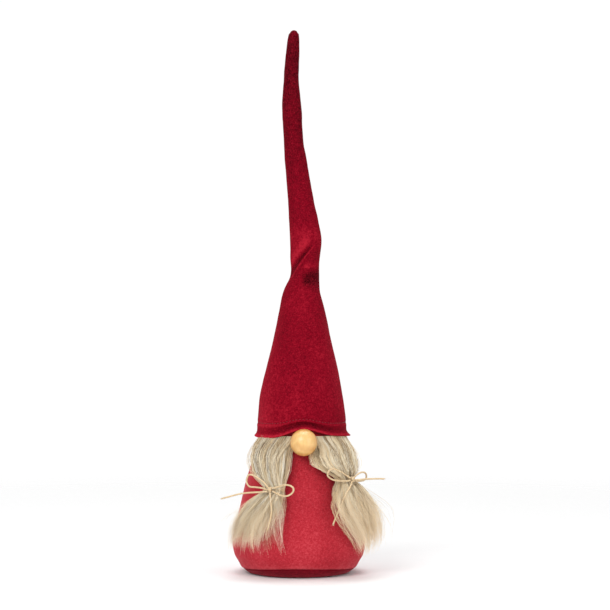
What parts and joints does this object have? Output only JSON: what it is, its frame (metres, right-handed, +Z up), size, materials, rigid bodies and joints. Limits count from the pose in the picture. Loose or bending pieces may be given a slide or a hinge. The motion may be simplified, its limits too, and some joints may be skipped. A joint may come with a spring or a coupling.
{
  "type": "tomte gnome figurine",
  "caption": "Standing velvet gnome with a weighted rounded body, tall wired pointed hat, wooden ball nose and tied hair locks with twine bows.",
  "frame": {"origin": "centre of the flat underside of the velvet base", "axes": "+Z up towards the hat, -Y the gnome's front with its nose, +X to the right of a viewer who faces it"},
  "size_m": [0.1824, 0.168, 0.6193],
  "materials": {
    "body_velvet": "raspberry red velvet, short nap",
    "hat_velvet": "crimson velvet, short nap with lighter and darker patches",
    "base_velvet": "dark maroon velvet",
    "card": "stiff grey-brown board",
    "fibre": "loose polyester fibrefill",
    "pouch": "plain woven cotton",
    "sand": "dry sand",
    "nose_wood": "lacquered pale beech",
    "glue": "hot-melt glue",
    "wire": "soft galvanised wire",
    "thread": "crimson sewing thread",
    "backing": "woven backing of long-pile fur",
    "hair": "long straight faux fur, sandy blond with darker roots",
    "twine": "cream twisted cotton twine"
  },
  "bodies": {
    "root": {"base_panel": "base_velvet", "base_board": "card", "ballast_pouch": "pouch", "ballast_sand": "sand", "body_sleeve": "body_velvet", "body_filling": "fibre", "nose_glue": "glue", "nose_ball": "nose_wood", "hat_cone": "hat_velvet", "hat_hem": "hat_velvet", "hem_thread": "thread", "hat_filling": "fibre", "hat_wire": "wire", "left_hair_strip": "backing", "right_hair_strip": "backing"},
    "tail_lower": {"lower_tail": "hat_velvet", "lower_tail_wire": "wire"},
    "tail_middle": {"middle_tail": "hat_velvet", "middle_tail_wire": "wire"},
    "tail_tip": {"tip_tail": "hat_velvet", "tip_tail_wire": "wire"},
    "pigtail_left": {"left_hair_lock": "hair", "left_twine_wrap": "twine", "left_knot": "twine", "left_outer_loop": "twine", "left_inner_loop": "twine", "left_long_end": "twine", "left_short_end": "twine"},
    "pigtail_right": {"right_hair_lock": "hair", "right_twine_wrap": "twine", "right_knot": "twine", "right_inner_loop": "twine", "right_outer_loop": "twine", "right_long_end": "twine", "right_short_end": "twine"}
  },
  "joints": [
    {"name": "hat_bend_low", "type": "hinge", "parent": "root", "child": "tail_lower", "pos_m": [0.00541, 0, 0.338], "axis": [0, 1, 0], "range_deg": [-90, 90]},
    {"name": "hat_bend_middle", "type": "hinge", "parent": "tail_lower", "child": "tail_middle", "pos_m": [0.00251, 0, 0.43], "axis": [1, 0, 0], "range_deg": [-90, 90]},
    {"name": "hat_bend_tip", "type": "hinge", "parent": "tail_middle", "child": "tail_tip", "pos_m": [-0.0086, 0, 0.53], "axis": [0, 1, 0], "range_deg": [-90, 90]},
    {"name": "left_pigtail_lift", "type": "hinge", "parent": "root", "child": "pigtail_left", "pos_m": [-0.02981, -0.05401, 0.1465], "axis": [-0.8529, 0.5222, 0], "range_deg": [0, 90]},
    {"name": "right_pigtail_lift", "type": "hinge", "parent": "root", "child": "pigtail_right", "pos_m": [0.04241, -0.04977, 0.1465], "axis": [-0.786, -0.6183, 0], "range_deg": [0, 90]}
  ]
}
